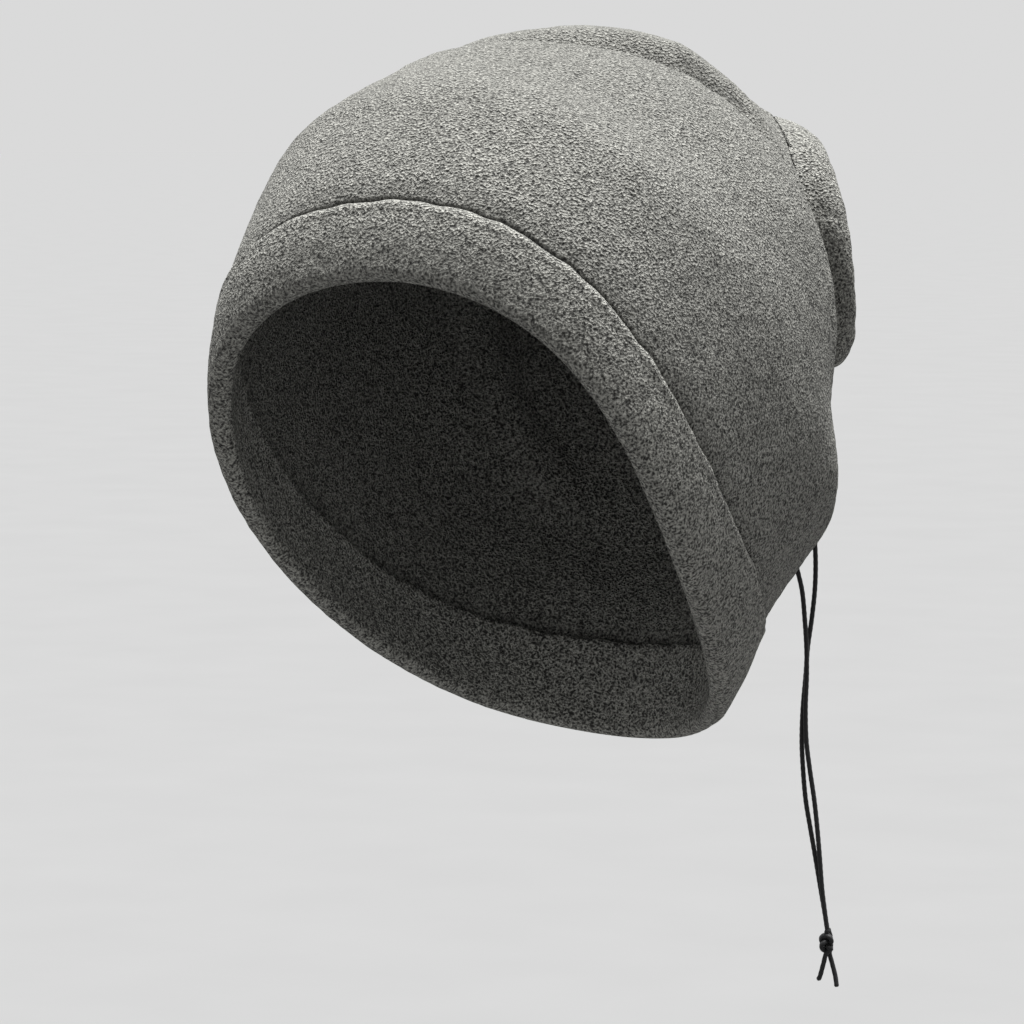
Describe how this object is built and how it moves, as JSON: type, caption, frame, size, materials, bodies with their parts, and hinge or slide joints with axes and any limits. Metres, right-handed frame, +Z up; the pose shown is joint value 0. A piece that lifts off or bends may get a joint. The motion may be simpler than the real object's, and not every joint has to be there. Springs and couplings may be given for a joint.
{
  "type": "drawstring fleece balaclava hat",
  "caption": "Slouchy grey fleece tube hat worn on a head, with a folded face band, a drawstring-gathered crown end and black cords hanging through a sprung cord lock.",
  "frame": {"origin": "middle of the wearer's head at eye level, the point of mount head", "axes": "+Z up as worn, -Y the way the wearer faces, +X the wearer's left"},
  "size_m": [0.1599, 0.2267, 0.3004],
  "materials": {
    "fleece": "matte brushed pile, mid grey",
    "fleece_band": "matte brushed pile, mid grey",
    "fleece_gather": "matte brushed pile, mid grey",
    "thread": "matte spun thread, dark grey",
    "cord": "matte braid, black",
    "eyelet": "black lacquer",
    "lock_barrel": "satin black",
    "lock_plunger": "satin black",
    "spring": "bright wire"
  },
  "bodies": {
    "hat": {"crown_tube": "fleece", "face_band": "fleece_band", "drawstring_casing": "fleece_gather", "band_seam_thread": "thread", "back_seam_thread": "thread", "casing_seam_thread": "thread", "drawstring_loop": "cord", "eyelet_left": "eyelet", "eyelet_right": "eyelet", "cord_tail_left": "cord", "cord_tail_right": "cord", "cord_knot": "cord"},
    "cord_lock": {"lock_barrel": "lock_barrel", "lock_spring": "spring"},
    "lock_button": {"lock_plunger": "lock_plunger"}
  },
  "joints": [
    {"name": "lock_slide", "type": "slide", "parent": "hat", "child": "cord_lock", "axis": [0.0405, 0.03, -0.9987], "range_m": [-0.012, 0.122], "deforming": ["cord_tail_left", "cord_tail_right"]},
    {"name": "lock_press", "type": "slide", "parent": "cord_lock", "child": "lock_button", "axis": [0.5446, -0.8387, 0], "range_m": [0, 0.003], "stiffness_N_per_m": 800, "springref_m": -0.004, "deforming": ["lock_spring"]}
  ]
}
